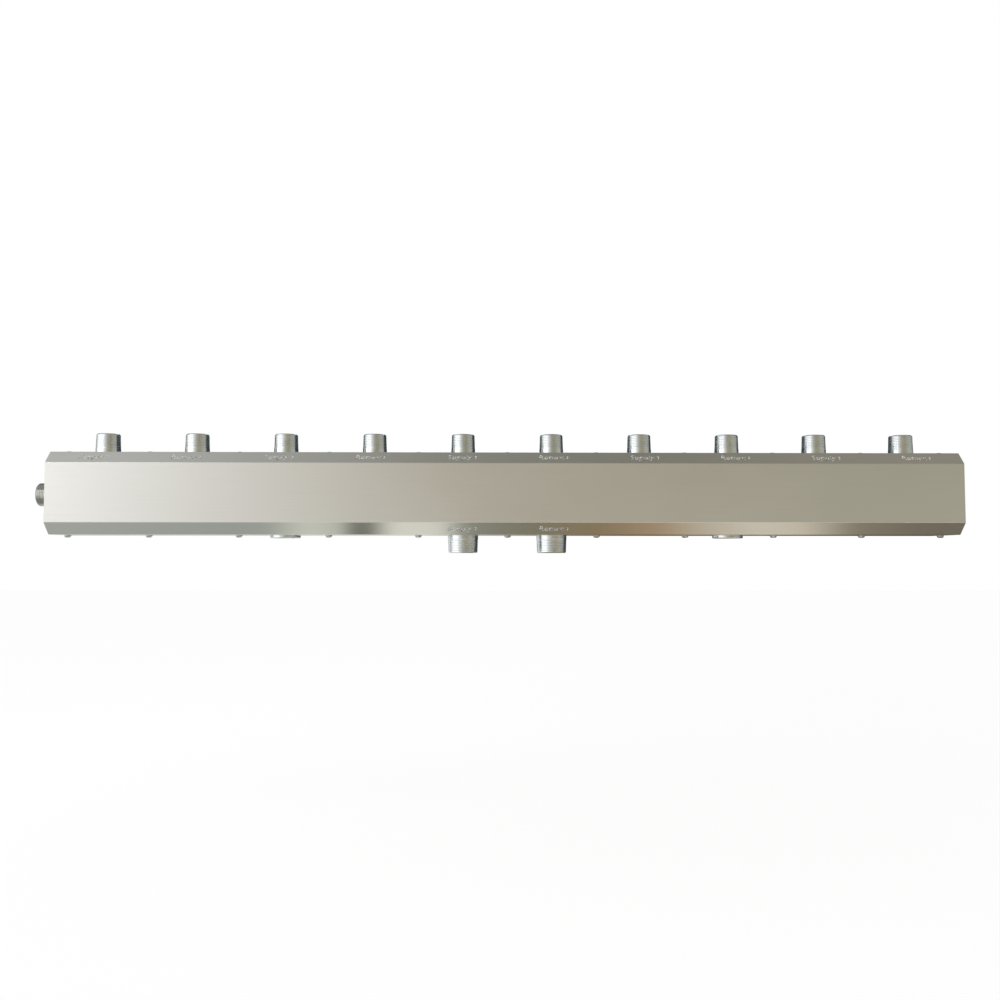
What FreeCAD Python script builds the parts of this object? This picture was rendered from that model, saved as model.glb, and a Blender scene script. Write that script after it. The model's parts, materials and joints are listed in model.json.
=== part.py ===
"""Heating manifold for five heating circuits, in a folded sheet casing.

A square steel tube is welded shut at both ends and split by a divider into a flow chamber above and a
return chamber below. Threaded pipe nipples stand on it: a flow and a return nipple for each circuit on
top, two source nipples below and one nipple on the left end. Rigid foam halves wrap the tube, and two
folded shells with end caps close round the foam. The shells meet along the row of port axes, where a
lip of the rear shell lies under the flange of the front shell and screws hold the two together.

Millimetres. X runs along the manifold, the front faces -Y and Z is up. The origin is the middle of the
casing's rear face, which goes against the wall.
"""
import FreeCAD
import Part
import math
import os

# Ports along the manifold
circuit_count = 5
port_pitch = 125.0
end_margin = 62.5
source_pitch = 125.0
port_axis_from_rear = 60.0

# Casing section and sheet
casing_height = 113.2
casing_depth = 120.0
fold_height = 16.0
fold_depth = 16.4
sheet = 1.0
bend_radius = 1.0
seam_gap = 0.5
lip_width = 24.0
lip_gap = 0.1
joggle_length = 3.0
pipe_hole_margin = 1.0

# End caps
cap_recess = 0.5
cap_gap = 0.2
cap_tab_depth = 22.0
cap_tab_width = 70.0
cap_tab_relief = 1.5

# Casing screws
screw_diameter = 4.8
screw_length = 9.5
screw_point = 3.0
screw_head_diameter = 9.5
screw_head_height = 3.7
screw_head_edge = 1.4
screw_fit = 0.15
screw_from_seam = 10.0
end_screw_inset = 12.5

# Welded body
tube_side = 80.0
tube_wall = 3.0
tube_corner = 6.0
body_end_inset = 25.0
end_plate_thickness = 4.0
divider_thickness = 3.0
divider_bend_radius = 4.0
divider_leg_offset = 36.0
divider_overhang = 6.5
weld_gap = 0.2

# Branch nipples, one inch pipe
branch_outside = 33.7
branch_bore = 27.3
branch_thread = 33.25
branch_thread_length = 20.0
branch_reach = 29.0
end_reach = 32.0

# Source nipples, one and a quarter inch pipe
source_outside = 42.4
source_bore = 36.0
source_thread = 41.91
source_thread_length = 19.0
source_reach = 25.0
thread_chamfer = 1.5

# Support bosses under the body
boss_spacing = 625.0
boss_diameter = 42.4
boss_reach = 4.2
boss_edge = 0.8
boss_tapping = 8.5
boss_tapping_depth = 15.0

# Insulation
foam_fit = 0.3

# Worked out from the sizes above
port_count = 2 * circuit_count
casing_length = (port_count - 1) * port_pitch + 2 * end_margin
half_length = casing_length / 2
half_body = half_length - body_end_inset
half_tube = half_body - end_plate_thickness
top = casing_height / 2
front = -casing_depth
axis_y = -port_axis_from_rear
screw_y = axis_y - screw_from_seam
lip_level = top - sheet - lip_gap
tube_inside = tube_side - 2 * tube_wall
chamber_top = tube_inside / 2
port_places = [(i - (port_count - 1) / 2) * port_pitch for i in range(port_count)]
flow_places = port_places[0::2]
return_places = port_places[1::2]
source_flow_place = -source_pitch / 2
source_return_place = source_pitch / 2
boss_places = [-boss_spacing / 2, boss_spacing / 2]
seam_screw_places = [(a + b) / 2 for a, b in zip(port_places, port_places[1:])]
end_screw_places = [end_screw_inset - half_length, half_length - end_screw_inset]
screw_places = sorted(seam_screw_places + end_screw_places)
divider_leg = port_places[0] + divider_leg_offset

UP = FreeCAD.Vector(0, 0, 1)
DOWN = FreeCAD.Vector(0, 0, -1)
LEFT = FreeCAD.Vector(-1, 0, 0)


def vector(x, y, z):
    return FreeCAD.Vector(x, y, z)


def box(low, high):
    """A box between two opposite corners."""
    size = high - low
    return Part.makeBox(size.x, size.y, size.z, low)


def rod(radius, start, end):
    """A round rod from one point to another."""
    return Part.makeCylinder(radius, (end - start).Length, start, end - start)


def turned(profile, foot, direction):
    """A turned piece. The profile lists (radius, distance from the foot) round its half section."""
    outline = [vector(radius, 0, height) for radius, height in profile]
    half_section = Part.Face(Part.makePolygon(outline + outline[:1]))
    piece = half_section.revolve(vector(0, 0, 0), UP, 360)
    piece.Placement = FreeCAD.Placement(foot, FreeCAD.Rotation(UP, direction))
    return piece


def bent_line(points, normal, left_radius, right_radius):
    """Straight runs through the points, with a tangent arc at every inner corner.

    Left and right turns, seen against the normal, each have their own radius.
    """
    edges = []
    start = points[0]
    for before, corner, after in zip(points, points[1:], points[2:]):
        back = (before - corner).normalize()
        ahead = (after - corner).normalize()
        half_angle = back.getAngle(ahead) / 2
        turns_left = ahead.cross(back).dot(normal) > 0
        radius = left_radius if turns_left else right_radius
        bisector = (back + ahead).normalize()
        arc_start = corner + back * (radius / math.tan(half_angle))
        arc_end = corner + ahead * (radius / math.tan(half_angle))
        arc_middle = corner + bisector * (radius / math.sin(half_angle) - radius)
        edges.append(Part.LineSegment(start, arc_start).toShape())
        edges.append(Part.Arc(arc_start, arc_middle, arc_end).toShape())
        start = arc_end
    edges.append(Part.LineSegment(start, points[-1]).toShape())
    return edges


def moved_left(points, lefts_before, lefts_after, distance):
    """The corners of a line whose runs are moved to their left, given each corner's two left directions."""
    corners = zip(points, lefts_before, lefts_after)
    return [point + (a + b) * (distance / (1 + a.dot(b))) for point, a, b in corners]


def left_of_runs(points, normal):
    """The direction to the left of each run of a line, seen against the normal."""
    return [normal.cross((b - a).normalize()) for a, b in zip(points, points[1:])]


def folded_sheet(points, normal, thickness, inside_radius, width):
    """A folded sheet: its outer line, the thickness to the left of that, and the width along the normal."""
    lefts = left_of_runs(points, normal)
    inner_points = moved_left(points, lefts[:1] + lefts, lefts + lefts[-1:], thickness)
    outside_radius = inside_radius + thickness
    outer_line = bent_line(points, normal, outside_radius, inside_radius)
    inner_line = bent_line(inner_points, normal, inside_radius, outside_radius)
    sheet_edges = [
        Part.LineSegment(points[0], inner_points[0]).toShape(),
        Part.LineSegment(points[-1], inner_points[-1]).toShape(),
    ]
    outline = Part.sortEdges(outer_line + inner_line + sheet_edges)[0]
    section = Part.Face(Part.Wire(outline))
    section.translate(normal * (-width / 2))
    return section.extrude(normal * width)


def mirrored_down(points):
    """The same points below the middle plane, in the opposite order."""
    return [vector(p.x, p.y, -p.z) for p in reversed(points)]


def square_bar(side, corner, half_span):
    """A square bar with rounded corners, round the axis of the body."""
    half = side / 2
    flat = half - corner
    slant = half - corner * (1 - math.sqrt(0.5))
    edges = []
    for quarter in range(4):
        turn = FreeCAD.Rotation(vector(1, 0, 0), 90 * quarter)
        flat_start, flat_end, arc_middle, next_start = [
            turn.multVec(vector(0, y, z))
            for y, z in ((half, -flat), (half, flat), (slant, slant), (flat, half))
        ]
        edges.append(Part.LineSegment(flat_start, flat_end).toShape())
        edges.append(Part.Arc(flat_end, arc_middle, next_start).toShape())
    section = Part.Face(Part.Wire(edges))
    section.translate(vector(-half_span, axis_y, 0))
    return section.extrude(vector(2 * half_span, 0, 0))


def casing_bar(inset, half_span):
    """The casing's eight-sided outline, taken in by an inset, as a solid bar."""
    corners = [
        (0, top - fold_height),
        (-fold_depth, top),
        (front + fold_depth, top),
        (front, top - fold_height),
        (front, fold_height - top),
        (front + fold_depth, -top),
        (-fold_depth, -top),
        (0, fold_height - top),
    ]
    outline = [vector(-half_span, y, z) for y, z in corners]
    lefts = left_of_runs(outline + outline[:1], vector(1, 0, 0))
    inner = moved_left(outline, lefts[-1:] + lefts, lefts, inset)
    section = Part.Face(Part.makePolygon(inner + inner[:1]))
    return section.extrude(vector(2 * half_span, 0, 0))


def upright(radius, x, low, high):
    """An upright rod on the row of port axes."""
    return rod(radius, vector(x, axis_y, low), vector(x, axis_y, high))


def through_casing(margin):
    """What passes through the casing's top (side 1) or bottom (side -1), grown: (radius, x, side)."""
    pipes = [(branch_outside / 2 + margin, x, 1) for x in port_places]
    pipes += [(source_outside / 2 + margin, x, -1) for x in (source_flow_place, source_return_place)]
    pipes += [(boss_diameter / 2 + margin, x, -1) for x in boss_places]
    return pipes


def screw_holes(radius, places):
    """Upright rods through both screw rows at the given places."""
    return [rod(radius, vector(x, screw_y, -top), vector(x, screw_y, top)) for x in places]


def nipple(outside, bore, thread, thread_length, foot, direction, length):
    """A pipe nipple: plain pipe, then the thread's outside diameter with a chamfered tip."""
    shoulder = length - thread_length
    return turned(
        [
            (bore / 2, 0),
            (outside / 2, 0),
            (outside / 2, shoulder),
            (thread / 2, shoulder),
            (thread / 2, length - thread_chamfer),
            (thread / 2 - thread_chamfer, length),
            (bore / 2, length),
        ],
        foot,
        direction,
    )


def branch_nipple(x, inner_end):
    """A branch nipple on top, from its inner end up to its tip above the casing."""
    length = top + branch_reach - inner_end
    foot = vector(x, axis_y, inner_end)
    return nipple(branch_outside, branch_bore, branch_thread, branch_thread_length, foot, UP, length)


def source_nipple(x, inner_end):
    """A source nipple below, from its inner end down to its tip under the casing."""
    length = top + source_reach + inner_end
    foot = vector(x, axis_y, inner_end)
    return nipple(source_outside, source_bore, source_thread, source_thread_length, foot, DOWN, length)


def end_nipple():
    """The nipple on the left end, flush with the inside of its end plate."""
    length = half_length + end_reach - half_tube
    foot = vector(-half_tube, axis_y, 0)
    return nipple(branch_outside, branch_bore, branch_thread, branch_thread_length, foot, LEFT, length)


def manifold_tube():
    """The square tube, with a hole for every nipple."""
    tube = square_bar(tube_side, tube_corner, half_tube)
    inside_corner = max(tube_corner - tube_wall, weld_gap)
    hollow = square_bar(tube_inside, inside_corner, half_tube)
    branch_holes = [upright(branch_outside / 2 + weld_gap, x, 0, tube_side) for x in port_places]
    source_holes = [
        upright(source_outside / 2 + weld_gap, x, -tube_side, 0)
        for x in (source_flow_place, source_return_place)
    ]
    return tube.cut([hollow] + branch_holes + source_holes)


def end_plate(side):
    """The plate that closes one end of the tube: side is -1 on the left and 1 on the right."""
    plate = square_bar(tube_side, tube_corner, end_plate_thickness / 2)
    plate.translate(vector(side * (half_tube + end_plate_thickness / 2), 0, 0))
    if side < 0:
        hole_start = vector(-half_body, axis_y, 0)
        hole_end = vector(-half_tube, axis_y, 0)
        plate = plate.cut(rod(branch_outside / 2 + weld_gap, hole_start, hole_end))
    return plate


def chamber_divider():
    """The divider plate, folded down at its left end so that the flow chamber takes in the end nipple."""
    level = divider_thickness / 2
    outer_line = [
        vector(half_tube, axis_y, level),
        vector(divider_leg, axis_y, level),
        vector(divider_leg, axis_y, -chamber_top),
    ]
    plate = folded_sheet(
        outer_line, vector(0, -1, 0), divider_thickness, divider_bend_radius, tube_inside
    )
    inside_corner = max(tube_corner - tube_wall, weld_gap)
    room = square_bar(tube_inside - 2 * weld_gap, inside_corner, half_tube)
    pipes = [upright(branch_outside / 2 + weld_gap, x, -tube_side, tube_side) for x in return_places]
    pipes.append(upright(source_outside / 2 + weld_gap, source_flow_place, -tube_side, tube_side))
    return plate.common(room).cut(pipes)


def support_boss(x):
    """A turned boss under the tube, tapped for a bracket bolt."""
    length = top + boss_reach - tube_side / 2
    floor = length - boss_tapping_depth
    return turned(
        [
            (0, 0),
            (boss_diameter / 2, 0),
            (boss_diameter / 2, length - boss_edge),
            (boss_diameter / 2 - boss_edge, length),
            (boss_tapping / 2, length),
            (boss_tapping / 2, floor),
            (0, floor),
        ],
        vector(x, axis_y, -tube_side / 2),
        DOWN,
    )


def insulation_block():
    """The foam as one block round the welded body, with a groove for each row of screw points."""
    block = casing_bar(sheet + foam_fit, half_length - cap_recess - sheet - bend_radius)
    foam_top = lip_level - sheet - foam_fit
    block = block.common(box(vector(-half_length, front, -foam_top), vector(half_length, 0, foam_top)))
    cuts = [square_bar(tube_side + 2 * foam_fit, tube_corner + foam_fit, half_body + foam_fit)]
    cuts += [upright(radius, x, 0, side * top) for radius, x, side in through_casing(foam_fit)]
    end_hole_radius = branch_outside / 2 + foam_fit
    cuts.append(rod(end_hole_radius, vector(-half_length, axis_y, 0), vector(-half_body, axis_y, 0)))
    groove = screw_diameter / 2 + foam_fit
    groove_floor = top - screw_length - foam_fit
    for z_low, z_high in ((-top, -groove_floor), (groove_floor, top)):
        groove_start = vector(-half_length, screw_y - groove, z_low)
        cuts.append(box(groove_start, vector(half_length, screw_y + groove, z_high)))
    return block.cut(cuts)


def insulation_half(block, y_low, y_high):
    """The part of the foam block between two upright planes."""
    return block.common(box(vector(-half_length, y_low, -top), vector(half_length, y_high, top)))


def casing_front():
    """The front shell: front face, two sloping bands and two flanges up to the seam."""
    seam = axis_y - seam_gap / 2
    upper = [
        vector(0, seam, top),
        vector(0, front + fold_depth, top),
        vector(0, front, top - fold_height),
    ]
    shell = folded_sheet(
        upper + mirrored_down(upper), vector(1, 0, 0), sheet, bend_radius, casing_length
    )
    cuts = [upright(radius, x, 0, side * top) for radius, x, side in through_casing(pipe_hole_margin)]
    cuts += screw_holes(screw_diameter / 2 + screw_fit, screw_places)
    return shell.cut(cuts)


def casing_rear():
    """The rear shell: rear face, two sloping bands and two flanges with a lip under the front ones."""
    lip_end = axis_y - lip_width
    upper = [
        vector(0, lip_end, lip_level),
        vector(0, axis_y, lip_level),
        vector(0, axis_y + joggle_length, top),
        vector(0, -fold_depth, top),
        vector(0, 0, top - fold_height),
    ]
    outer_line = list(reversed(upper + mirrored_down(upper)))
    shell = folded_sheet(outer_line, vector(1, 0, 0), sheet, bend_radius, casing_length)
    cuts = screw_holes(screw_diameter / 2 + screw_fit, seam_screw_places)
    for radius, x, side in through_casing(pipe_hole_margin):
        cuts.append(upright(radius, x, 0, side * top))
        z_low, z_high = sorted((0, side * top))
        cuts.append(box(vector(x - radius, lip_end, z_low), vector(x + radius, axis_y, z_high)))
    clear_of_tabs = half_length - cap_recess - cap_tab_depth - cap_tab_relief
    clear_of_joggle = axis_y + joggle_length + bend_radius + sheet
    for side in (-1, 1):
        x_low, x_high = sorted((side * clear_of_tabs, side * half_length))
        cuts.append(box(vector(x_low, lip_end, -top), vector(x_high, clear_of_joggle, top)))
    return shell.cut(cuts)


def end_cap(side):
    """An end cap: an eight-sided plate with a screwed tab folded in at the top and at the bottom."""
    face = side * (half_length - cap_recess)
    inner_face = face - side * sheet
    plate = casing_bar(sheet + cap_gap, sheet / 2)
    plate.translate(vector(face - side * sheet / 2, 0, 0))
    tab_low = axis_y - cap_tab_width / 2
    tab_high = axis_y + cap_tab_width / 2
    tab_end = face - side * cap_tab_depth
    upper = [vector(tab_end, axis_y, lip_level), vector(face, axis_y, lip_level)]
    outer_line = upper + mirrored_down(upper)
    normal = vector(0, side, 0)
    tabs = folded_sheet(outer_line, normal, sheet, bend_radius, cap_tab_width)
    fold_room = sheet + bend_radius
    for upright_side in (-1, 1):
        z_low, z_high = sorted((upright_side * top, upright_side * (lip_level - fold_room)))
        x_low, x_high = sorted((face, inner_face))
        plate = plate.cut(box(vector(x_low, tab_low, z_low), vector(x_high, tab_high, z_high)))
    cap = plate.fuse(tabs).removeSplitter()
    cuts = screw_holes(screw_diameter / 2 + screw_fit, end_screw_places)
    if side < 0:
        hole_radius = branch_outside / 2 + pipe_hole_margin
        cuts.append(rod(hole_radius, vector(-half_length, axis_y, 0), vector(inner_face, axis_y, 0)))
    return cap.cut(cuts)


def casing_screw(x, side):
    """A pan-head sheet screw on the top (side 1) or bottom (side -1) front flange."""
    shank = screw_diameter / 2
    head = screw_head_diameter / 2
    return turned(
        [
            (0, -screw_length),
            (shank, screw_point - screw_length),
            (shank, 0),
            (head, 0),
            (head, screw_head_height - screw_head_edge),
            (head - screw_head_edge, screw_head_height),
            (0, screw_head_height),
        ],
        vector(x, screw_y, side * top),
        UP if side > 0 else DOWN,
    )


def all_pieces():
    """Every piece of the manifold, by name."""
    foam = insulation_block()
    pieces = {
        "manifold_tube": manifold_tube(),
        "end_plate_left": end_plate(-1),
        "end_plate_right": end_plate(1),
        "chamber_divider": chamber_divider(),
        "source_flow_nipple": source_nipple(source_flow_place, divider_overhang + divider_thickness / 2),
        "source_return_nipple": source_nipple(source_return_place, -chamber_top),
        "end_nipple": end_nipple(),
        "support_boss_left": support_boss(boss_places[0]),
        "support_boss_right": support_boss(boss_places[1]),
        "insulation_front": insulation_half(foam, front, axis_y),
        "insulation_rear": insulation_half(foam, axis_y, 0),
        "casing_front": casing_front(),
        "casing_rear": casing_rear(),
        "end_cap_left": end_cap(-1),
        "end_cap_right": end_cap(1),
        "casing_screws_top": Part.makeCompound([casing_screw(x, 1) for x in screw_places]),
        "casing_screws_bottom": Part.makeCompound([casing_screw(x, -1) for x in screw_places]),
    }
    return_end = -divider_overhang - divider_thickness / 2
    for number, x in enumerate(flow_places, 1):
        pieces[f"flow_nipple_{number}"] = branch_nipple(x, chamber_top)
    for number, x in enumerate(return_places, 1):
        pieces[f"return_nipple_{number}"] = branch_nipple(x, return_end)
    return pieces


def main():
    os.makedirs("parts", exist_ok=True)
    for name, piece in all_pieces().items():
        piece.exportStep(os.path.join("parts", name + ".step"))
        print(f"{name}: {len(piece.Solids)} solids, {piece.Volume:.0f} cubic millimetres")


main()
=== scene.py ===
# %% [markdown]
# # A heating manifold in a folded casing
# The real object shares hot water between five heating circuits. A long brushed casing hides the insulated
# body, and only the threaded pipe ends, the screw heads and two round support bosses show.
# The CAD solids come in first as a fixed frame. Everything after that is looks: threads, screw recesses,
# marks, finishes and the studio.

# %% Load the fixed frame
import json
import math
import random

import bmesh
import bpy
from mathutils import Matrix, Vector


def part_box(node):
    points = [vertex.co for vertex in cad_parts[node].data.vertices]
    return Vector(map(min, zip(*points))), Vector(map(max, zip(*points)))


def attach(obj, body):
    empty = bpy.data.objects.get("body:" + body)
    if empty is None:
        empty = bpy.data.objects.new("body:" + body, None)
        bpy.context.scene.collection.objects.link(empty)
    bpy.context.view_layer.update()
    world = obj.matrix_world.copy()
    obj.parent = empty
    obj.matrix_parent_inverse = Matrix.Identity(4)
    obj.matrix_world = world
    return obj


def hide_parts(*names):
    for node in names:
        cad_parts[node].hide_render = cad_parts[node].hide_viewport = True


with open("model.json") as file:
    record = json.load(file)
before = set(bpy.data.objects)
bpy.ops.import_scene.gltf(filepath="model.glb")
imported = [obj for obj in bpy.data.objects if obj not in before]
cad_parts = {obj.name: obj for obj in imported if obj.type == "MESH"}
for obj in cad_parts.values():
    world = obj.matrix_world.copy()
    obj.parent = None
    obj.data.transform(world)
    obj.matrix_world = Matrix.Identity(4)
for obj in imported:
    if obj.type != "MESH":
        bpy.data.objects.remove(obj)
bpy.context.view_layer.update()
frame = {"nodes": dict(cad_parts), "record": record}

nodes = frame["nodes"]
MM = 0.001
random.seed(7)

# %% [markdown]
# ## Camera
# The photograph is taken from in front, a little below the middle of the casing, with a moderately wide
# lens. A camera can be placed by eye, but here the casing's corners, the pipe ends and the folds were
# measured in the picture and a place, turn and focal length were fitted to them. The tilt does the framing,
# so no shift is needed. Turn and tilt are in radians.

# %% Camera
CAMERA_PLACE = Vector((-35.7, -1478.1, -85.0)) * MM
CAMERA_TURN = -0.0179
CAMERA_TILT = 0.0552
FOCAL_PER_WIDTH = 1.0031

camera_data = bpy.data.cameras.new("camera")
camera_data.sensor_fit = "HORIZONTAL"
camera_data.lens = FOCAL_PER_WIDTH * camera_data.sensor_width
camera_data.dof.use_dof = False
camera = bpy.data.objects.new("camera", camera_data)
camera.location = CAMERA_PLACE
camera.rotation_euler = (math.pi / 2 + CAMERA_TILT, 0, CAMERA_TURN)
bpy.context.scene.collection.objects.link(camera)
bpy.context.scene.camera = camera
bpy.context.scene.view_settings.view_transform = "Standard"
print("camera at", tuple(camera.location), "lens", round(camera_data.lens, 2), "mm")

# %% [markdown]
# ## Finishes
# Every finish starts from one Principled shader. Numbers that are the same all over a surface go on the
# shader's own sockets. What changes from place to place, such as grain, comes from noise that is stretched
# in the direction in which the real surface was worked.

# %% A finish and its noise
def new_finish(name, metallic, roughness):
    """A material with its Principled shader."""
    finish = bpy.data.materials.new(name)
    finish.use_nodes = True
    shader = finish.node_tree.nodes["Principled BSDF"]
    shader.inputs["Metallic"].default_value = metallic
    shader.inputs["Roughness"].default_value = roughness
    return finish, shader


def stretched_noise(finish, stretch, detail=4.0):
    """Noise in the part's own metres, with so many cells to the metre along each axis."""
    tree = finish.node_tree
    place = tree.nodes.new("ShaderNodeTexCoord")
    mapping = tree.nodes.new("ShaderNodeMapping")
    mapping.inputs["Scale"].default_value = stretch
    noise = tree.nodes.new("ShaderNodeTexNoise")
    noise.inputs["Scale"].default_value = 1.0
    noise.inputs["Detail"].default_value = detail
    tree.links.new(place.outputs["Object"], mapping.inputs["Vector"])
    tree.links.new(mapping.outputs["Vector"], noise.inputs["Vector"])
    return noise.outputs["Fac"]


print("materials before the finishes:", len(bpy.data.materials))

# %% [markdown]
# Noise gathers round its middle value, so its middle stretch is spread over the whole range of a colour or
# a roughness. A relief takes the noise as it is.

# %% From noise to colour, roughness and relief
NOISE_LOW = 0.3
NOISE_HIGH = 0.7


def colour_from(finish, shader, share, dark, pale, low_at=NOISE_LOW, high_at=NOISE_HIGH):
    """A base colour that goes from dark to pale as the share rises."""
    ramp = finish.node_tree.nodes.new("ShaderNodeValToRGB")
    first, last = ramp.color_ramp.elements
    first.position = low_at
    first.color = (*dark, 1)
    last.position = high_at
    last.color = (*pale, 1)
    finish.node_tree.links.new(share, ramp.inputs["Fac"])
    finish.node_tree.links.new(ramp.outputs["Color"], shader.inputs["Base Color"])


def roughness_from(finish, shader, share, smooth, rough):
    """A roughness that goes from smooth to rough as the share rises."""
    reach = finish.node_tree.nodes.new("ShaderNodeMapRange")
    reach.inputs["From Min"].default_value = NOISE_LOW
    reach.inputs["From Max"].default_value = NOISE_HIGH
    reach.inputs["To Min"].default_value = smooth
    reach.inputs["To Max"].default_value = rough
    finish.node_tree.links.new(share, reach.inputs["Value"])
    finish.node_tree.links.new(reach.outputs["Result"], shader.inputs["Roughness"])


def relief_from(finish, shader, share, height, strength):
    """A fine relief of that height in metres."""
    bump = finish.node_tree.nodes.new("ShaderNodeBump")
    bump.inputs["Strength"].default_value = strength
    bump.inputs["Distance"].default_value = height
    finish.node_tree.links.new(share, bump.inputs["Height"])
    finish.node_tree.links.new(bump.outputs["Normal"], shader.inputs["Normal"])


print("noise is spread from", NOISE_LOW, "to", NOISE_HIGH)

# %% [markdown]
# The casing is stainless sheet, ground along its length. Ground lines reflect sharply along themselves and
# blur across, which the shader's anisotropy gives when its tangent runs round an axis along the lines. The
# lines themselves are noise that is very long in that axis and very fine in the others. Handling leaves
# broad patches that are a little rougher. The shells are ground along X and the end caps across the casing,
# along Y.

# %% Brushed stainless sheet
ALONG_X = (9, 2600, 2600)
ALONG_Y = (2600, 9, 2600)
HANDLING_PER_METRE = (7, 16, 16)
GRAIN_DARK = (0.655, 0.645, 0.605)
GRAIN_PALE = (0.695, 0.685, 0.645)
GRAIN_HEIGHT = 0.01 * MM
GRAIN_STRENGTH = 0.3
SHEET_SMOOTH = 0.3
SHEET_ROUGH = 0.36
SHEET_ANISOTROPY = 0.75


def brushed_sheet(name, lines_per_metre, axis):
    """Stainless sheet ground along an axis."""
    sheet, shader = new_finish(name, metallic=1.0, roughness=SHEET_SMOOTH)
    grain = stretched_noise(sheet, lines_per_metre, detail=5.0)
    handling = stretched_noise(sheet, HANDLING_PER_METRE, detail=2.0)
    colour_from(sheet, shader, grain, GRAIN_DARK, GRAIN_PALE)
    roughness_from(sheet, shader, handling, SHEET_SMOOTH, SHEET_ROUGH)
    relief_from(sheet, shader, grain, GRAIN_HEIGHT, GRAIN_STRENGTH)
    shader.inputs["Anisotropic"].default_value = SHEET_ANISOTROPY
    around = sheet.node_tree.nodes.new("ShaderNodeTangent")
    around.direction_type = "RADIAL"
    around.axis = axis
    sheet.node_tree.links.new(around.outputs["Tangent"], shader.inputs["Tangent"])
    print("finish:", sheet.name)
    return sheet


stainless = brushed_sheet("brushed_stainless", ALONG_X, "X")
cap_stainless = brushed_sheet("brushed_stainless_caps", ALONG_Y, "Y")

# %% [markdown]
# The pipe ends and bosses are steel with a bright zinc plate. It is a little cloudy, bluish where it is dark
# and plain grey where it is pale, so colour and roughness both wander in patches of some millimetres. The
# port on the end is duller and darker, so the same recipe is used twice.

# %% Zinc plate
CLOUDS_PER_METRE = (140, 140, 140)
SPECKS_PER_METRE = (1800, 1800, 1800)
SPECK_HEIGHT = 0.01 * MM
SPECK_STRENGTH = 0.2


def zinc_plate(name, dark, pale, smooth, rough):
    """A cloudy plate between two colours and two roughnesses."""
    plate, shader = new_finish(name, metallic=1.0, roughness=rough)
    clouds = stretched_noise(plate, CLOUDS_PER_METRE, detail=3.0)
    specks = stretched_noise(plate, SPECKS_PER_METRE, detail=2.0)
    colour_from(plate, shader, clouds, dark, pale)
    roughness_from(plate, shader, clouds, smooth, rough)
    relief_from(plate, shader, specks, SPECK_HEIGHT, SPECK_STRENGTH)
    print("finish:", plate.name)
    return plate


zinc = zinc_plate(
    "zinc_plate",
    dark=(0.60, 0.64, 0.67), pale=(0.69, 0.70, 0.69), smooth=0.16, rough=0.24,
)
dull_zinc = zinc_plate(
    "dull_zinc_plate",
    dark=(0.32, 0.325, 0.29), pale=(0.42, 0.42, 0.38), smooth=0.24, rough=0.32,
)

# %% [markdown]
# The screws are plain bright stainless. Turning leaves fine rings round their axis, so the noise is much
# finer along Z than across.

# %% Bright screws
TURNING_PER_METRE = (400, 400, 2600)
SCREW_DARK = (0.46, 0.46, 0.45)
SCREW_PALE = (0.60, 0.60, 0.58)
SCREW_SMOOTH = 0.11
SCREW_ROUGH = 0.2

bright_steel, screw_shader = new_finish("bright_screw_steel", metallic=1.0, roughness=0.15)
turning = stretched_noise(bright_steel, TURNING_PER_METRE)
colour_from(bright_steel, screw_shader, turning, SCREW_DARK, SCREW_PALE)
roughness_from(bright_steel, screw_shader, turning, SCREW_SMOOTH, SCREW_ROUGH)
print("finish:", bright_steel.name)

# %% [markdown]
# The welded body is primed dark with a brush, along its length. It hardly shows, but it keeps a true finish
# for a look through the ports. Modelled brush marks would be wasted there, so stretched noise gives them as
# a shallow relief.

# %% Primed body
BRUSHING_PER_METRE = (60, 300, 300)
BRUSHING_HEIGHT = 0.08 * MM
BRUSHING_STRENGTH = 0.5
PRIMER_DARK = (0.045, 0.045, 0.048)
PRIMER_PALE = (0.085, 0.083, 0.08)
PRIMER_SMOOTH = 0.45
PRIMER_ROUGH = 0.62

primer, primer_shader = new_finish("dark_primer", metallic=0.0, roughness=0.55)
brushing = stretched_noise(primer, BRUSHING_PER_METRE)
colour_from(primer, primer_shader, brushing, PRIMER_DARK, PRIMER_PALE)
roughness_from(primer, primer_shader, brushing, PRIMER_SMOOTH, PRIMER_ROUGH)
relief_from(primer, primer_shader, brushing, BRUSHING_HEIGHT, BRUSHING_STRENGTH)
print("finish:", primer.name)

# %% [markdown]
# The insulation is pale rigid foam. A Voronoi texture could draw its cells one by one, but they are too fine
# to be told apart, so noise of one size in all directions is enough.

# %% Rigid foam
CELLS_PER_METRE = (900, 900, 900)
CELL_HEIGHT = 0.3 * MM
CELL_STRENGTH = 0.6
FOAM_DARK = (0.66, 0.62, 0.48)
FOAM_PALE = (0.86, 0.83, 0.70)

foam, foam_shader = new_finish("rigid_foam", metallic=0.0, roughness=0.85)
cells = stretched_noise(foam, CELLS_PER_METRE, detail=2.0)
colour_from(foam, foam_shader, cells, FOAM_DARK, FOAM_PALE)
relief_from(foam, foam_shader, cells, CELL_HEIGHT, CELL_STRENGTH)
print("finish:", foam.name)

# %% [markdown]
# Each CAD node names its slot in the record, so one loop hands every node its finish. The end caps only
# take the other direction of the grain. The CAD meshes stay as they are.

# %% Finishes on the CAD nodes
FINISH_OF_SLOT = {
    "stainless_sheet": stainless,
    "plated_steel": zinc,
    "body_steel": primer,
    "foam": foam,
    "screw_steel": bright_steel,
}
for subpart in frame["record"]["subparts"]:
    mesh = nodes[subpart["node"]].data
    mesh.materials.clear()
    mesh.materials.append(FINISH_OF_SLOT[subpart["material_slot"]])
for cap in ("end_cap_left", "end_cap_right"):
    nodes[cap].data.materials[0] = cap_stainless

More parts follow.
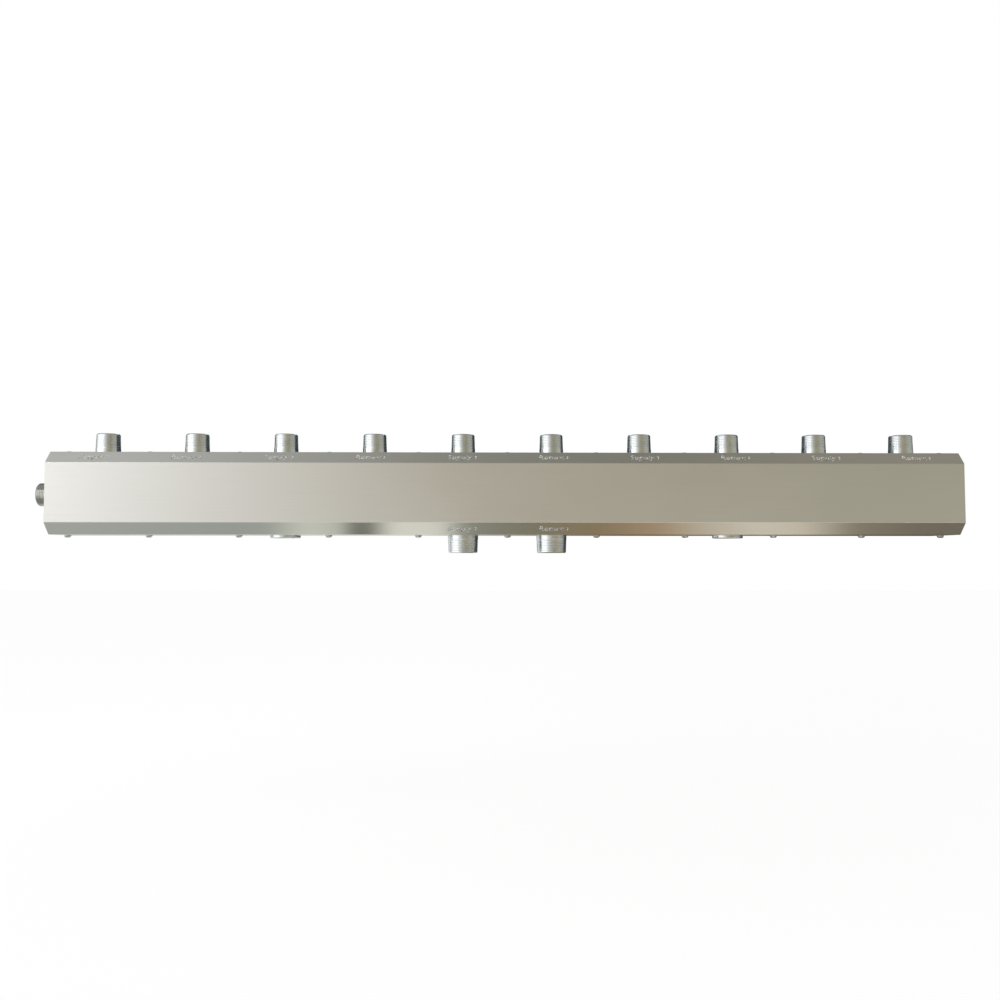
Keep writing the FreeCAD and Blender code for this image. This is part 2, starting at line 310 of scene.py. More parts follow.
# %% [markdown]
# ## Threaded pipe ends
# A pipe thread is a groove that winds round a slightly tapered end, 11 turns to the inch. It could be a
# swept profile with a Screw modifier, but the run-out and the chamfer at the tip are then hard to blend in.
# Here the outside is a grid of rings. Each point's radius follows from how far it has turned and risen, so
# groove, taper, run-out and chamfer are all one formula. The pipe ends look almost smooth from the camera,
# so the groove is shallower than a real one and its crests are broader.

# %% Radius of a threaded end
THREAD_PITCH = 25.4 * MM / 11
THREAD_DEPTH = 0.14 * THREAD_PITCH
CREST_FLAT = 0.8
TAPER = 1 / 32
RUN_OUT = 2 * THREAD_PITCH


def crest_share(turns):
    """0 in the root of the groove and 1 on the flat crest, with the edges rounded."""
    wave = abs(2 * (turns % 1.0) - 1)
    flank = min(max(wave / (1 - CREST_FLAT), 0), 1)
    return flank * flank * (3 - 2 * flank)


def thread_radius(crest, chamfer, length, rise, turned):
    """The outside radius at a rise above the shoulder, for a thread of that length."""
    to_tip = length - rise
    outside = crest - TAPER * rise
    tip_limit = crest - TAPER * length - chamfer + to_tip
    fade = min(rise / RUN_OUT, 1)
    depth = THREAD_DEPTH * fade * (1 - crest_share(rise / THREAD_PITCH - turned))
    return min(outside - depth, max(tip_limit, outside - THREAD_DEPTH - chamfer))


print("thread pitch", round(THREAD_PITCH / MM, 3), "mm, depth", round(THREAD_DEPTH / MM, 3), "mm")

# %% [markdown]
# The rings run up the outside, over the rim and back down the bore, so the mesh closes on itself.

# %% Build one threaded pipe end
ROUND_STEPS = 96
ROWS_PER_TURN = 20
RIM = 0.4 * MM
PIPE_SHARP_ANGLE = math.radians(50)


def ring(radius_at, height):
    """One ring of points at a height. radius_at gives the radius for a share of a turn."""
    points = []
    for i in range(ROUND_STEPS):
        turned = i / ROUND_STEPS
        radius = radius_at(turned)
        angle = 2 * math.pi * turned
        points.append((radius * math.cos(angle), radius * math.sin(angle), height))
    return points


def plain_ring(radius, height):
    """One ring of points that has the same radius all round."""
    return ring(lambda turned: radius, height)


def rings_to_mesh(name, rings):
    """A closed mesh from rings of points, each joined to the next and the last to the first."""
    bm = bmesh.new()
    loops = [[bm.verts.new(point) for point in points] for points in rings]
    for current, following in zip(loops, loops[1:] + loops[:1]):
        for i in range(ROUND_STEPS):
            j = (i + 1) % ROUND_STEPS
            bm.faces.new((current[i], current[j], following[j], following[i]))
    bmesh.ops.recalc_face_normals(bm, faces=bm.faces)
    mesh = bpy.data.meshes.new(name)
    bm.to_mesh(mesh)
    bm.free()
    mesh.shade_smooth()
    mesh.set_sharp_from_angle(angle=PIPE_SHARP_ANGLE)
    return mesh


def threaded_pipe(name, outside, bore, crest, chamfer, thread_length, length):
    """A pipe from 0 up to its length along Z, threaded at the top. Radii and lengths in metres."""
    shoulder = length - thread_length
    rings = [
        plain_ring(bore, 0),
        plain_ring(outside, 0),
        plain_ring(outside, shoulder - 2 * RIM),
        plain_ring(outside, shoulder - RIM),
    ]
    rows = round(ROWS_PER_TURN * thread_length / THREAD_PITCH)
    for row in range(rows + 1):
        rise = thread_length * row / rows
        rings.append(ring(
            lambda turned: thread_radius(crest, chamfer, thread_length, rise, turned),
            shoulder + rise,
        ))
    rings.append(plain_ring(bore + RIM, length))
    rings.append(plain_ring(bore, length - RIM))
    return rings_to_mesh(name, rings)


print("points on a ring:", ROUND_STEPS, "rings to a turn of thread:", ROWS_PER_TURN)

# %% [markdown]
# Ten pipe ends stand on top, two hang below and one leaves the left end. Each takes its place and length
# from the CAD node that it stands for, and starts its thread at its own angle, as cut pipes do. The sizes
# of both kinds of pipe are in millimetres.

# %% All thirteen pipe ends
BRANCH = {"outside": 16.85, "bore": 13.65, "crest": 16.62, "chamfer": 1.2, "thread_length": 20.0}
SOURCE = {"outside": 21.2, "bore": 18.0, "crest": 20.95, "chamfer": 1.2, "thread_length": 19.0}
CIRCUIT_COUNT = 5
CIRCUITS = range(1, CIRCUIT_COUNT + 1)
TURN_TO = {
    "up": Matrix.Identity(4),
    "down": Matrix.Rotation(math.pi, 4, "X"),
    "left": Matrix.Rotation(-math.pi / 2, 4, "Y"),
}


def pipe_end(node, sizes, way, plate=zinc):
    """A threaded pipe that stands for a CAD node and points up, down or left."""
    low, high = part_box(node)
    foot = (low + high) / 2
    if way == "up":
        foot.z = low.z
    elif way == "down":
        foot.z = high.z
    else:
        foot.x = high.x
    length = high.x - low.x if way == "left" else high.z - low.z
    scaled = {key: value * MM for key, value in sizes.items()}
    mesh = threaded_pipe(node + "_threaded", length=length, **scaled)
    mesh.materials.append(plate)
    pipe = bpy.data.objects.new(node + "_threaded", mesh)
    start = Matrix.Rotation(random.uniform(0, 2 * math.pi), 4, "Z")
    pipe.matrix_world = Matrix.Translation(foot) @ TURN_TO[way] @ start
    bpy.context.scene.collection.objects.link(pipe)
    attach(pipe, "root")
    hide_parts(node)
    return pipe


pipes = []
for number in CIRCUITS:
    pipes.append(pipe_end(f"flow_nipple_{number}", BRANCH, "up"))
    pipes.append(pipe_end(f"return_nipple_{number}", BRANCH, "up"))
pipes.append(pipe_end("source_flow_nipple", SOURCE, "down"))
pipes.append(pipe_end("source_return_nipple", SOURCE, "down"))
pipes.append(pipe_end("end_nipple", BRANCH, "left", dull_zinc))
print("pipe ends:", len(pipes), "faces each about", len(pipes[0].data.polygons))

# %% [markdown]
# ## Casing screws
# The seam is held by pan-head sheet screws. The CAD screw has a plain chamfered head. A rounded one could be
# pressed out of a sphere, but turning an outline round Z gives the head, the shank and the point in one
# mesh. The outline has radii and heights in millimetres.

# %% Turned screw
SCREW_OUTLINE = (
    (0.0, -9.5), (2.4, -6.5), (2.4, 0.0), (4.55, 0.0), (4.75, 0.4), (4.66, 1.5),
    (4.3, 2.45), (3.62, 3.17), (2.6, 3.56), (1.3, 3.7), (0.0, 3.7),
)
SCREW_STEPS = 32
MERGE_DISTANCE = 0.01 * MM


def turned_mesh(name, outline, steps):
    """A mesh turned round Z from (radius, height) points in millimetres."""
    bm = bmesh.new()
    points = [bm.verts.new((radius * MM, 0, height * MM)) for radius, height in outline]
    edges = [bm.edges.new(pair) for pair in zip(points, points[1:])]
    bmesh.ops.spin(
        bm, geom=points + edges, axis=(0, 0, 1), cent=(0, 0, 0), steps=steps, angle=2 * math.pi,
    )
    bmesh.ops.remove_doubles(bm, verts=bm.verts, dist=MERGE_DISTANCE)
    bmesh.ops.recalc_face_normals(bm, faces=bm.faces)
    mesh = bpy.data.meshes.new(name)
    bm.to_mesh(mesh)
    bm.free()
    return mesh


plain_screw = turned_mesh("plain_screw", SCREW_OUTLINE, SCREW_STEPS)
print("plain screw faces:", len(plain_screw.polygons))

# %% [markdown]
# The cross recess for the driver narrows towards its floor. Two tapered bars are cut out of the head with a
# boolean, which leaves crisp edges, and the cut screw then serves for every place. The bars' sizes are in
# millimetres.

# %% Cross recess
RECESS_TOP = 4.0
RECESS_FLOOR = 1.4
RECESS_HALF_TOP = 0.7
RECESS_HALF_FLOOR = 0.34
RECESS_REACH_TOP = 2.7
RECESS_REACH_FLOOR = 0.62 * RECESS_REACH_TOP
BAR_FACES = ((0, 1, 2, 3), (4, 5, 6, 7), (0, 1, 5, 4), (1, 2, 6, 5), (2, 3, 7, 6), (3, 0, 4, 7))


def recess_bar(turn):
    """One tapered bar of the cross, as an object to cut with."""
    bm = bmesh.new()
    for z, half, reach in (
        (RECESS_FLOOR, RECESS_HALF_FLOOR, RECESS_REACH_FLOOR),
        (RECESS_TOP, RECESS_HALF_TOP, RECESS_REACH_TOP),
    ):
        for x, y in ((-reach, -half), (reach, -half), (reach, half), (-reach, half)):
            bm.verts.new((x * MM, y * MM, z * MM))
    bm.verts.ensure_lookup_table()
    for corners in BAR_FACES:
        bm.faces.new([bm.verts[i] for i in corners])
    bmesh.ops.recalc_face_normals(bm, faces=bm.faces)
    bm.transform(Matrix.Rotation(turn, 4, "Z"))
    mesh = bpy.data.meshes.new("recess_bar")
    bm.to_mesh(mesh)
    bm.free()
    bar = bpy.data.objects.new("recess_bar", mesh)
    bpy.context.scene.collection.objects.link(bar)
    return bar


def cut_from(mesh, cutters):
    """The mesh with every cutter taken out of it. The cutters are removed."""
    blank = bpy.data.objects.new("blank", mesh)
    bpy.context.scene.collection.objects.link(blank)
    for cutter in cutters:
        cut = blank.modifiers.new("cut", "BOOLEAN")
        cut.operation = "DIFFERENCE"
        cut.solver = "EXACT"
        cut.object = cutter
    depsgraph = bpy.context.evaluated_depsgraph_get()
    result = bpy.data.meshes.new_from_object(blank.evaluated_get(depsgraph))
    for made in [blank, *cutters]:
        bpy.data.objects.remove(made)
    return result


screw_mesh = cut_from(plain_screw, [recess_bar(0), recess_bar(math.pi / 2)])
print("screw faces:", len(screw_mesh.polygons))

# %% [markdown]
# A row of screws is one CAD node, so one piece stands for it: eleven copies of the screw, each turned to
# where its driver happened to stop. Nine stand halfway between ports and one near each end. Their places
# along the casing are in millimetres.

# %% Both rows of screws
SCREW_EDGE = 12.5
PORT_PITCH = 125.0
HALF_LENGTH = 625.0
SCREW_SHARP_ANGLE = math.radians(35)
screw_places = [-HALF_LENGTH + SCREW_EDGE, HALF_LENGTH - SCREW_EDGE]
screw_places += [PORT_PITCH * step for step in range(1 - CIRCUIT_COUNT, CIRCUIT_COUNT)]


def screw_row(node, height, way):
    """A row of screws in one mesh, standing for its CAD node."""
    low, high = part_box(node)
    bm = bmesh.new()
    for x in sorted(screw_places):
        before = len(bm.verts)
        bm.from_mesh(screw_mesh)
        place = Matrix.Translation((x * MM, (low.y + high.y) / 2, height))
        stop = Matrix.Rotation(random.uniform(0, math.pi), 4, "Z")
        bm.verts.ensure_lookup_table()
        bmesh.ops.transform(bm, matrix=place @ TURN_TO[way] @ stop, verts=bm.verts[before:])
    mesh = bpy.data.meshes.new(node + "_pan_heads")
    bm.to_mesh(mesh)
    bm.free()
    mesh.materials.append(bright_steel)
    mesh.shade_smooth()
    mesh.set_sharp_from_angle(angle=SCREW_SHARP_ANGLE)
    row = bpy.data.objects.new(node + "_pan_heads", mesh)
    bpy.context.scene.collection.objects.link(row)
    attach(row, "root")
    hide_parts(node)
    return row


shell_low, shell_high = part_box("casing_front")
screw_rows = [
    screw_row("casing_screws_top", shell_high.z, "up"),
    screw_row("casing_screws_bottom", shell_low.z, "down"),
]
print("screw rows:", [len(row.data.polygons) for row in screw_rows])

# %% [markdown]
# ## Marks beside the ports
# On the sloping bands every port has a small etched mark that says which way the water goes. Etching leaves
# the steel frosted, so the marks are matt. Noise takes their tone from near black to pale, with a sharper
# change than the other finishes have. These patches are painted shade and painted glints for the light on
# the raised strokes.

# %% Frosted finish of the marks, with painted shade and glints
ETCH_CELLS_PER_METRE = (380, 380, 380)
# The near-black and pale tones are painted shade and painted glints for the light on the raised strokes;
# only the matt roughness is the real frost.
ETCH_PAINTED_SHADE = (0.10, 0.10, 0.095)
ETCH_PAINTED_GLINT = (0.78, 0.78, 0.75)
ETCH_PAINTED_SHADE_AT = 0.38
ETCH_PAINTED_GLINT_AT = 0.62
ETCH_SMOOTH = 0.65
ETCH_ROUGH = 0.85

frosted_with_painted_light, frosted_shader = new_finish("etched_mark", metallic=0.2, roughness=0.75)
etch_frost_and_painted_light = stretched_noise(frosted_with_painted_light, ETCH_CELLS_PER_METRE)
colour_from(frosted_with_painted_light, frosted_shader, etch_frost_and_painted_light, ETCH_PAINTED_SHADE, ETCH_PAINTED_GLINT, ETCH_PAINTED_SHADE_AT, ETCH_PAINTED_GLINT_AT)
roughness_from(frosted_with_painted_light, frosted_shader, etch_frost_and_painted_light, ETCH_SMOOTH, ETCH_ROUGH)
print("finish:", frosted_with_painted_light.name)

# %% [markdown]
# The letters of a mark could be cut into the sheet with a boolean, but the CAD sheet must stay as it is. So
# a text curve gives them as a very thin skin that is laid on the sheet.

# %% Letters of a mark
LETTER_SIZE = 12.0 * MM
LETTER_SPACING = 1.05
LETTER_SLANT = 0.2
LETTER_CURVE_STEPS = 3
LETTER_BEVEL_STEPS = 1
MARK_THICKNESS = 0.2 * MM
MARK_ROUNDING = 0.12 * MM


def letters_mesh(words):
    """The words as a mesh in the XY plane, centred on its origin."""
    curve = bpy.data.curves.new("letters", "FONT")
    curve.body = words
    curve.size = LETTER_SIZE
    curve.space_character = LETTER_SPACING
    curve.shear = LETTER_SLANT
    curve.extrude = MARK_THICKNESS / 2 - MARK_ROUNDING / 2
    curve.bevel_depth = MARK_ROUNDING / 2
    curve.bevel_resolution = LETTER_BEVEL_STEPS
    curve.resolution_u = LETTER_CURVE_STEPS
    curve.align_x = "CENTER"
    curve.align_y = "CENTER"
    holder = bpy.data.objects.new("letters", curve)
    bpy.context.scene.collection.objects.link(holder)
    depsgraph = bpy.context.evaluated_depsgraph_get()
    mesh = bpy.data.meshes.new_from_object(holder.evaluated_get(depsgraph))
    bpy.data.objects.remove(holder)
    return mesh


print("letters", round(LETTER_SIZE / MM, 1), "mm in size,", round(MARK_THICKNESS / MM, 2), "mm thick")

# %% [markdown]
# The arrow of a mark has only seven corners, so it is drawn as one face and raised to the same thickness.
# It stands on the right of the letters, and the pair is then centred.

# %% Arrow of a mark, and both together
MARK_GAP = 3.0 * MM
ARROW_LENGTH = 8.0 * MM
ARROW_HEAD = 3.6 * MM
ARROW_HALF_WIDTH = 1.9 * MM
ARROW_HALF_STEM = 0.55 * MM


def add_arrow(bm, x, upward):
    """A slim arrow beside the letters, pointing up or down the band."""
    tip = ARROW_LENGTH / 2
    neck = tip - ARROW_HEAD
    outline = (
        (0, tip), (-ARROW_HALF_WIDTH, neck), (-ARROW_HALF_STEM, neck), (-ARROW_HALF_STEM, -tip),
        (ARROW_HALF_STEM, -tip), (ARROW_HALF_STEM, neck), (ARROW_HALF_WIDTH, neck),
    )
    sense = 1 if upward else -1
    back = -MARK_THICKNESS / 2
    corners = [bm.verts.new((x + across, sense * along, back)) for across, along in outline]
    face = bm.faces.new(corners)
    raised = bmesh.ops.extrude_face_region(bm, geom=[face])["geom"]
    lifted = [item for item in raised if isinstance(item, bmesh.types.BMVert)]
    bmesh.ops.translate(bm, verts=lifted, vec=(0, 0, MARK_THICKNESS))


def mark_mesh(name, words, upward):
    """Letters with an arrow on their right, as one mesh."""
    letters = letters_mesh(words)
    bm = bmesh.new()
    bm.from_mesh(letters)
    right_end = max(vertex.co.x for vertex in bm.verts)
    add_arrow(bm, right_end + MARK_GAP + ARROW_HALF_WIDTH, upward)
    left_end = min(vertex.co.x for vertex in bm.verts)
    whole = max(vertex.co.x for vertex in bm.verts) - left_end
    bmesh.ops.translate(bm, verts=bm.verts, vec=(-left_end - whole / 2, 0, 0))
    bmesh.ops.recalc_face_normals(bm, faces=bm.faces)
    mesh = bpy.data.meshes.new(name)
    bm.to_mesh(mesh)
    bm.free()
    return mesh


print("arrow", round(ARROW_LENGTH / MM, 1), "mm long")

# %% [markdown]
# A mark lies flat on its band when its own axes line up with the band: X along the casing, Y up the slope
# and Z out of the sheet. The band runs from the front face to the flange, so the front shell's box and the
# size of the fold give its two edges. Flow arrows on top point out of the casing and return arrows into it.
# Below, the heat source's flow goes in and its return comes out.

# %% Marks on the upper and lower bands
FOLD_HEIGHT = 16.0 * MM
FOLD_DEPTH = 16.4 * MM
BAND_FRONT = Vector((0, shell_low.y, shell_high.z - FOLD_HEIGHT))
BAND_BACK = Vector((0, shell_low.y + FOLD_DEPTH, shell_high.z))


def on_band(x, lower):
    """The place and axes of a mark in the middle of the upper or lower band."""
    slope = (BAND_BACK - BAND_FRONT).normalized()
    middle = (BAND_FRONT + BAND_BACK) / 2
    if lower:
        slope = Vector((0, -slope.y, slope.z))
        middle = Vector((0, middle.y, -middle.z))
    along = Vector((1, 0, 0))
    outward = along.cross(slope)
    axes = Matrix((along, slope, outward)).transposed().to_4x4()
    return Matrix.Translation(middle + along * x + outward * MARK_THICKNESS / 2) @ axes


def etched_mark(name, words, node, upward, lower=False):
    """A mark in line with a port's pipe end."""
    low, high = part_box(node)
    mesh = mark_mesh(name, words, upward)
    mesh.materials.append(frosted_with_painted_light)
    mark = bpy.data.objects.new(name, mesh)
    mark.matrix_world = on_band((low.x + high.x) / 2, lower)
    bpy.context.scene.collection.objects.link(mark)
    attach(mark, "root")
    return mark


marks = []
for number in CIRCUITS:
    marks += [
        etched_mark(f"mark_flow_{number}", "Supply", f"flow_nipple_{number}", upward=True),
        etched_mark(f"mark_return_{number}", "Return", f"return_nipple_{number}", upward=False),
    ]
marks += [
    etched_mark("mark_source_flow", "Supply", "source_flow_nipple", upward=True, lower=True),
    etched_mark("mark_source_return", "Return", "source_return_nipple", upward=False, lower=True),
]
print("marks:", len(marks), "widths mm:", [round(mark.dimensions.x / MM, 1) for mark in marks])

# %% [markdown]
# ## Studio
# The background is white. A white world gives that and lights everything evenly. What the metal mirrors is
# added afterwards, piece by piece, where a picture of a whole room would be hard to adjust.

# %% White world
world = bpy.data.worlds.new("studio")
world.use_nodes = True
background = world.node_tree.nodes["Background"]
background.inputs["Color"].default_value = (1, 1, 1, 1)
background.inputs["Strength"].default_value = 1.0
bpy.context.scene.world = world
print("world:", world.name)

# %% [markdown]
# The floor is a pale sheet well below the part. Its material is mostly a plain white glow for camera, glossy
# and transmission rays, so the metal mirrors the same white, and the rest is matt, so the floor keeps the
# part's soft shadow.

# %% Pale floor
FLOOR_LEVEL = -450.0 * MM
FLOOR_HALF = 9.0
FLOOR_GLOW_SHARE = 0.8
PAPER_TONE = (0.9, 0.9, 0.9)


def level_corners(half_width, front, back, height):
    """The four corners of a level sheet, from the front left one round."""
    sides = ((-half_width, front), (half_width, front), (half_width, back), (-half_width, back))
    return [(x, y, height) for x, y in sides]


def stage_sheet(name, corners, material):
    """A flat four-cornered sheet that belongs to the studio and not to the part."""
    mesh = bpy.data.meshes.new(name)
    mesh.from_pydata(corners, [], [(0, 1, 2, 3)])
    mesh.materials.append(material)
    sheet = bpy.data.objects.new(name, mesh)
    bpy.context.scene.collection.objects.link(sheet)
    return sheet


def seen_rays(tree):
    """A socket that is above 0 for camera, glossy and transmission rays and 0 for all others."""
    path = tree.nodes.new("ShaderNodeLightPath")
    total = path.outputs["Is Camera Ray"]
    for kind in ("Is Glossy Ray", "Is Transmission Ray"):
        add = tree.nodes.new("ShaderNodeMath")
        add.operation = "ADD"
        tree.links.new(total, add.inputs[0])
        tree.links.new(path.outputs[kind], add.inputs[1])
        total = add.outputs[0]
    return total


def floor_paper():
    """Matt white paper that glows white in a share of what the camera and the reflections see."""
    paper, shader = new_finish("floor_paper", metallic=0.0, roughness=0.9)
    shader.inputs["Base Color"].default_value = (*PAPER_TONE, 1)
    tree = paper.node_tree
    share = tree.nodes.new("ShaderNodeMath")
    share.operation = "MULTIPLY"
    share.inputs[1].default_value = FLOOR_GLOW_SHARE
    glow = tree.nodes.new("ShaderNodeEmission")
    glow.inputs["Strength"].default_value = 1.0
    mixed = tree.nodes.new("ShaderNodeMixShader")
    tree.links.new(seen_rays(tree), share.inputs[0])
    tree.links.new(share.outputs[0], mixed.inputs["Fac"])
    tree.links.new(shader.outputs["BSDF"], mixed.inputs[1])
    tree.links.new(glow.outputs["Emission"], mixed.inputs[2])
    tree.links.new(mixed.outputs["Shader"], tree.nodes["Material Output"].inputs["Surface"])
    return paper


stage_sheet("floor", level_corners(FLOOR_HALF, -FLOOR_HALF, FLOOR_HALF, FLOOR_LEVEL), floor_paper())
print("floor", round(-FLOOR_LEVEL, 2), "m below the part's middle")

# %% [markdown]
# Polished metal shows what stands round it. In the photograph the left of the room is bright, like a
# window, and the right is dim and warm. Glowing screens stand for that room. The glow of a screen changes
# along it, so it follows a ramp of tones over the screen's U coordinate. Each tone is set at an angle in
# degrees from the front, left being negative.

# %% Tones and glows of the screens
WINDOW_LEVELS = (
    (-118, (0.07, 0.08, 0.08)),
    (-98, (0.55, 0.57, 0.57)),
    (-72, (1.00, 1.00, 1.00)),
    (-45, (0.88, 0.88, 0.89)),
)
SCREEN_LEVELS = (
    (-45, (0.88, 0.88, 0.89)),
    (-42, (0.82, 0.82, 0.83)),
    (-34, (0.57, 0.57, 0.575)),
    (-28, (0.472, 0.472, 0.474)),
    (-21, (0.408, 0.403, 0.387)),
    (-14, (0.338, 0.325, 0.299)),
    (-2, (0.235, 0.214, 0.165)),
    (21, (0.186, 0.171, 0.124)),
    (27, (0.184, 0.171, 0.125)),
    (36, (0.195, 0.184, 0.134)),
    (60, (0.250, 0.247, 0.200)),
    (95, (0.24, 0.245, 0.235)),
    (108, (0.08, 0.09, 0.09)),
)
RAMP_MIDDLE = 0.5


def glow_material(name, strength):
    """A bare emission material and its emission node."""
    glow = bpy.data.materials.new(name)
    glow.use_nodes = True
    tree = glow.node_tree
    tree.nodes.remove(tree.nodes["Principled BSDF"])
    emission = tree.nodes.new("ShaderNodeEmission")
    emission.inputs["Strength"].default_value = strength
    tree.links.new(emission.outputs["Emission"], tree.nodes["Material Output"].inputs["Surface"])
    return glow, emission


def graded_glow(name, strength, levels, start, end):
    """A glow whose colour follows the U coordinate through levels of (angle or place, colour)."""
    glow, emission = glow_material(name, strength)
    tree = glow.node_tree
    place = tree.nodes.new("ShaderNodeTexCoord")
    split = tree.nodes.new("ShaderNodeSeparateXYZ")
    ramp = tree.nodes.new("ShaderNodeValToRGB")
    elements = ramp.color_ramp.elements
    # New stops start in the middle of the ramp and are then moved to their places.
    while len(elements) < len(levels):
        elements.new(RAMP_MIDDLE)
    for element, (at, colour) in zip(elements, levels):
        element.position = (at - start) / (end - start)
        element.color = (*colour, 1)
    tree.links.new(place.outputs["UV"], split.inputs["Vector"])
    tree.links.new(split.outputs["X"], ramp.inputs["Fac"])
    tree.links.new(ramp.outputs["Color"], emission.inputs["Color"])
    return glow


print("tones of the window:", len(WINDOW_LEVELS), "of the front screen:", len(SCREEN_LEVELS))

# %% [markdown]
# The screens are upright arcs round the part: a low bright one on the left, which makes the white stripes on
# the pipe ends, and a tall one round the front that fades to the right. They show only in reflections, so
# they never hide the part from any side.

# %% Curved screens on the left and round the front
SCREEN_RADIUS = 2.7
SCREEN_LOW = FLOOR_LEVEL
WINDOW_TOP = 0.6
SCREEN_TOP = 2.4
SCREEN_STEPS = 48
SCREEN_STRENGTH = 2.2


def only_in_reflections(card):
    """The card is seen by glossy and transmission rays alone."""
    card.visible_camera = False
    card.visible_diffuse = False
    card.visible_shadow = False
    return card


def curved_screen(name, radius, start, end, low, high, glow):
    """An upright screen on an arc round the part, from a start to an end in degrees from the front."""
    bm = bmesh.new()
    uv = bm.loops.layers.uv.new("along")
    columns = []
    for step in range(SCREEN_STEPS + 1):
        share = step / SCREEN_STEPS
        angle = math.radians(start + (end - start) * share)
        x, y = radius * math.sin(angle), -radius * math.cos(angle)
        columns.append((share, bm.verts.new((x, y, low)), bm.verts.new((x, y, high))))
    for (left, a, d), (right, b, c) in zip(columns, columns[1:]):
        face = bm.faces.new((a, b, c, d))
        for loop, u in zip(face.loops, (left, right, right, left)):
            loop[uv].uv = (u, 0)
    mesh = bpy.data.meshes.new(name)
    bm.to_mesh(mesh)
    bm.free()
    mesh.materials.append(glow)
    screen = bpy.data.objects.new(name, mesh)
    bpy.context.scene.collection.objects.link(screen)
    return only_in_reflections(screen)


for name, levels, high in (
    ("left_window", WINDOW_LEVELS, WINDOW_TOP),
    ("front_screen", SCREEN_LEVELS, SCREEN_TOP),
):
    first, last = levels[0][0], levels[-1][0]
    glow = graded_glow(name + "_glow", SCREEN_STRENGTH, levels, first, last)
    curved_screen(name, SCREEN_RADIUS, first, last, SCREEN_LOW, high, glow)
    print(name, "from", first, "to", last, "degrees")

# %% [markdown]
# A round pipe mirrors what is behind it along its edges. Tall dark flags curved round the back give the pipe
# ends their dark rims, which set them off from the white background. The flags end a little below the part,
# so that from above a good half of the casing's back still mirrors the bright floor. The left one ends
# higher, because the pipe ends below have no dark rim on that side.

# %% Dark flags behind the part
FLAG_RADIUS = 1.6
FLAG_START = 106
FLAG_SPLIT = 206
FLAG_END = 244
FLAG_LOW = -0.15
FLAG_LOW_LEFT = 0.08
FLAG_HIGH = 1.2
FLAG_TONE = (0.055, 0.07, 0.07)

flag_glow, flag_emission = glow_material("flag_tone", strength=1.0)
flag_emission.inputs["Color"].default_value = (*FLAG_TONE, 1)
curved_screen("back_flag", FLAG_RADIUS, FLAG_START, FLAG_SPLIT, FLAG_LOW, FLAG_HIGH, flag_glow)
curved_screen("left_flag", FLAG_RADIUS, FLAG_SPLIT, FLAG_END, FLAG_LOW_LEFT, FLAG_HIGH, flag_glow)
print("flags from", FLAG_START, "to", FLAG_END, "degrees")

# %% [markdown]
# The upper band faces the ceiling, which is dimmer than the white world and brightest on the left. The
# lower band faces the floor, where dark and bright patches alternate, as over a cluttered workshop floor.
# The underside shows as a thin strip, which is dark on the right and looks at the floor further back. Level
# cards give them those tones, each set at a place along X in metres.

# %% Tones of the level cards
CEILING_LEVELS = (
    (-1.1, (0.57, 0.58, 0.59)),
    (-0.2, (0.33, 0.337, 0.317)),
    (0.35, (0.27, 0.27, 0.238)),
    (1.1, (0.35, 0.33, 0.29)),
)
UNDER_LEVELS = (
    (-0.62, (0.50, 0.53, 0.51)),
    (-0.42, (0.44, 0.48, 0.46)),
    (-0.36, (0.46, 0.49, 0.46)),
    (-0.30, (0.83, 0.85, 0.78)),
    (-0.25, (0.70, 0.72, 0.66)),
    (-0.228, (0.19, 0.20, 0.17)),
    (-0.205, (0.19, 0.20, 0.17)),
    (-0.17, (1.0, 1.0, 0.92)),
    (-0.10, (0.95, 0.95, 0.88)),
    (-0.06, (0.33, 0.34, 0.29)),
    (0.04, (0.28, 0.26, 0.19)),
    (0.14, (0.34, 0.26, 0.15)),
    (0.23, (0.50, 0.36, 0.23)),
    (0.30, (0.68, 0.61, 0.48)),
    (0.38, (0.86, 0.80, 0.69)),
    (0.45, (0.80, 0.73, 0.61)),
    (0.53, (0.32, 0.28, 0.21)),
    (0.64, (0.22, 0.19, 0.15)),
)
STRIP_LEVELS = (
    (-0.15, (0.95, 0.95, 0.95)),
    (0.20, (0.06, 0.055, 0.045)),
)
print("tones above:", len(CEILING_LEVELS), "below:", len(UNDER_LEVELS) + len(STRIP_LEVELS))

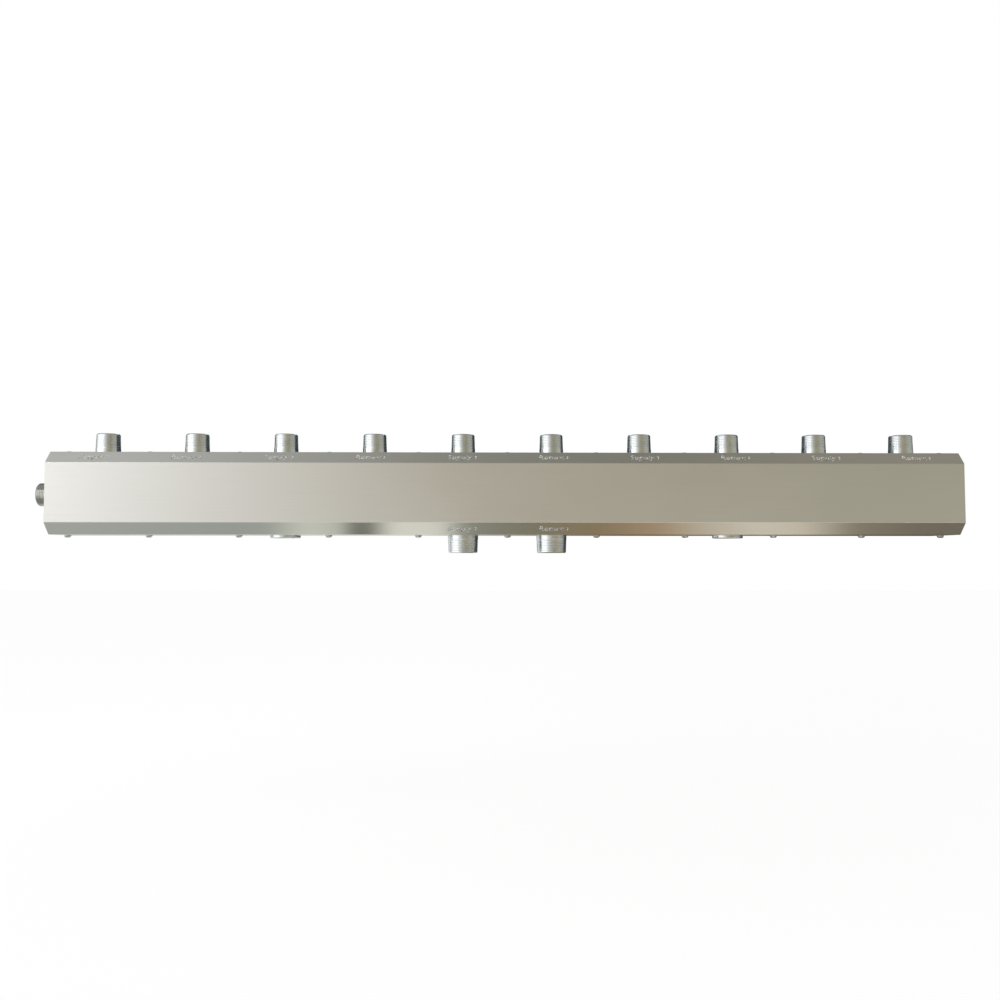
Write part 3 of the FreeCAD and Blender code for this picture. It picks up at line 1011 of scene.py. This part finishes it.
# %% [markdown]
# One card hangs above the part and two lie below it, the second further back. Like the screens, they show
# only in reflections.

# %% Level cards above and below the part
CARD_STRENGTH = 1.0
CEILING_HEIGHT = 1.5
CEILING_HALF_WIDTH = 2.2
CEILING_FRONT = -1.6
CEILING_BACK = 1.2
UNDER_HEIGHT = -0.19
UNDER_HALF_WIDTH = 0.9
UNDER_FRONT = -0.33
UNDER_BACK = 0.04
STRIP_HEIGHT = -0.15
STRIP_HALF_WIDTH = 1.3
STRIP_FRONT = -0.02
STRIP_BACK = 1.6


def level_card(name, half_width, front, back, height, levels):
    """A level card whose colour follows levels of (X in metres, colour)."""
    glow = graded_glow(name + "_glow", CARD_STRENGTH, levels, -half_width, half_width)
    card = stage_sheet(name, level_corners(half_width, front, back, height), glow)
    uv = card.data.uv_layers.new(name="along")
    for loop, u in zip(uv.data, (0, 1, 1, 0)):
        loop.uv = (u, 0)
    return only_in_reflections(card)


cards = [
    level_card(
        "ceiling_card", CEILING_HALF_WIDTH, CEILING_FRONT, CEILING_BACK, CEILING_HEIGHT, CEILING_LEVELS,
    ),
    level_card("under_card", UNDER_HALF_WIDTH, UNDER_FRONT, UNDER_BACK, UNDER_HEIGHT, UNDER_LEVELS),
    level_card("strip_card", STRIP_HALF_WIDTH, STRIP_FRONT, STRIP_BACK, STRIP_HEIGHT, STRIP_LEVELS),
]
print("cards:", [card.name for card in cards])

# %% [markdown]
# One broad soft lamp from the upper left gives the floor shadow a direction. A sun would give a hard edge,
# which the photograph doesn't have.

# %% Soft lamp
LAMP_PLACE = Vector((-1.6, -1.4, 1.9))
LAMP_SIZE = 1.6
LAMP_POWER = 12.0

lamp_data = bpy.data.lights.new("soft_lamp", "AREA")
lamp_data.size = LAMP_SIZE
lamp_data.energy = LAMP_POWER
lamp = bpy.data.objects.new("soft_lamp", lamp_data)
lamp.location = LAMP_PLACE
lamp.rotation_euler = (-LAMP_PLACE).to_track_quat("-Z", "Y").to_euler()
bpy.context.scene.collection.objects.link(lamp)
print("lamp", LAMP_POWER, "W")
